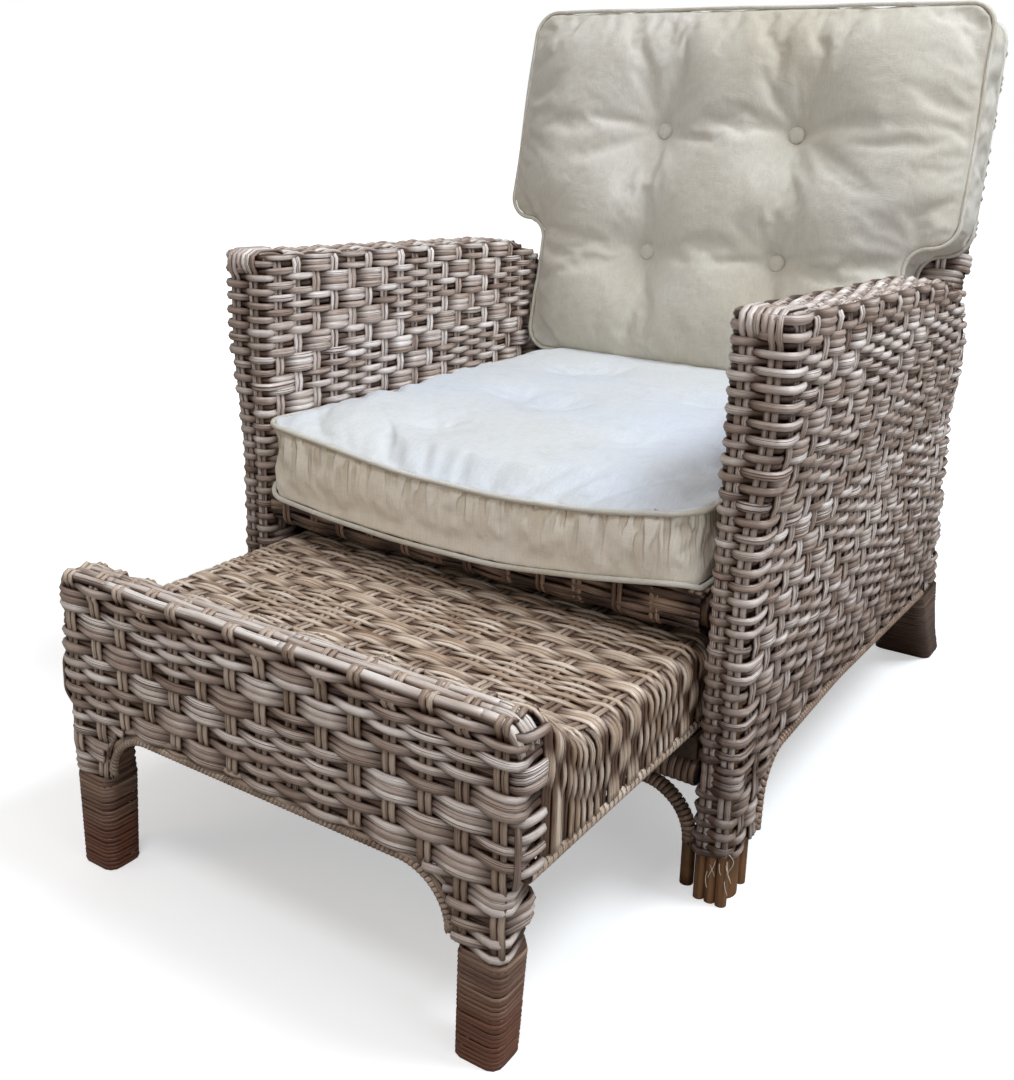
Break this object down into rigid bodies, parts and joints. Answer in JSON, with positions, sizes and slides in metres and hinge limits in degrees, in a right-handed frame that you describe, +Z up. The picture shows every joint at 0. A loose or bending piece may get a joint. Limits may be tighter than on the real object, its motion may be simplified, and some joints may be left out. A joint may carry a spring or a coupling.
{
  "type": "woven rattan armchair with pull-out footrest",
  "caption": "Woven rattan lounge armchair with loose piped cushions, a buttoned T-shaped back cushion and an arched footrest that slides out on runners under the seat.",
  "frame": {"origin": "on the floor under the middle of the whole chair, with its footrest half pulled out as at rest", "axes": "+Z up, -Y towards the front and the footrest, +X to the left hand of the sitter, so the right side as seen from the front"},
  "size_m": [0.744, 1.173, 0.9775],
  "materials": {
    "cane_weave": "grey-brown woven cane, satin where worn",
    "cane_binding": "brown split-cane wrapping, satin",
    "rattan_pole": "bare rattan pole, matt",
    "plain_timber": "plain sawn timber, matt",
    "cushion_cloth": "off-white cotton canvas, matt, aged",
    "piping_cloth": "off-white cotton piping, matt",
    "button_cloth": "off-white covered button, matt"
  },
  "bodies": {
    "chair": {"apron_weave": "cane_weave", "arm_board_left": "plain_timber", "arm_board_right": "plain_timber", "arm_edging_left": "cane_binding", "arm_edging_right": "cane_binding", "arm_rail_left": "rattan_pole", "arm_rail_right": "rattan_pole", "arm_weave_left": "cane_weave", "arm_weave_right": "cane_weave", "back_low_rail": "rattan_pole", "back_middle_rail": "rattan_pole", "back_post_left": "rattan_pole", "back_post_right": "rattan_pole", "back_stakes": "rattan_pole", "back_top_rail": "rattan_pole", "back_weave": "cane_weave", "front_arch_pole": "cane_binding", "front_foot_poles_left": "rattan_pole", "front_foot_poles_right": "rattan_pole", "front_post_left": "rattan_pole", "front_post_right": "rattan_pole", "front_stretcher": "cane_binding", "lower_side_rail_left": "rattan_pole", "lower_side_rail_right": "rattan_pole", "rear_foot_wrap_left": "cane_binding", "rear_foot_wrap_right": "cane_binding", "rear_stretcher": "rattan_pole", "runner_left": "plain_timber", "runner_right": "plain_timber", "seat_cross_poles": "rattan_pole", "seat_deck_weave": "cane_weave", "seat_front_rail": "rattan_pole", "seat_rear_rail": "rattan_pole", "seat_side_rail_left": "rattan_pole", "seat_side_rail_right": "rattan_pole"},
    "footrest": {"footrest_arch_edging": "cane_binding", "footrest_border_roll": "cane_binding", "footrest_front_rail": "rattan_pole", "footrest_front_weave": "cane_weave", "footrest_leg_pole_left": "rattan_pole", "footrest_leg_pole_right": "rattan_pole", "footrest_leg_wrap_left": "cane_binding", "footrest_leg_wrap_right": "cane_binding", "footrest_lip_rail": "rattan_pole", "footrest_rear_rail": "rattan_pole", "footrest_side_pole_left": "cane_binding", "footrest_side_pole_right": "cane_binding", "footrest_side_rail_left": "rattan_pole", "footrest_side_rail_right": "rattan_pole", "footrest_slats": "rattan_pole", "footrest_stop_left": "plain_timber", "footrest_stop_right": "plain_timber", "footrest_top_weave": "cane_weave"},
    "seat_cushion": {"seat_cushion": "cushion_cloth", "seat_cushion_lower_piping": "piping_cloth", "seat_cushion_upper_piping": "piping_cloth"},
    "back_cushion": {"back_cushion": "cushion_cloth", "back_cushion_buttons": "button_cloth", "back_cushion_front_piping": "piping_cloth", "back_cushion_rear_piping": "piping_cloth"}
  },
  "joints": [
    {"name": "footrest_slide", "type": "slide", "parent": "chair", "child": "footrest", "axis": [0, -1, 0], "range_m": [-0.225, 0.2]},
    {"name": "seat_cushion_lift", "type": "slide", "parent": "chair", "child": "seat_cushion", "axis": [0, 0, 1], "range_m": [0, 0.35]},
    {"name": "back_cushion_lift", "type": "slide", "parent": "seat_cushion", "child": "back_cushion", "axis": [0, 0, 1], "range_m": [0, 0.3]}
  ]
}
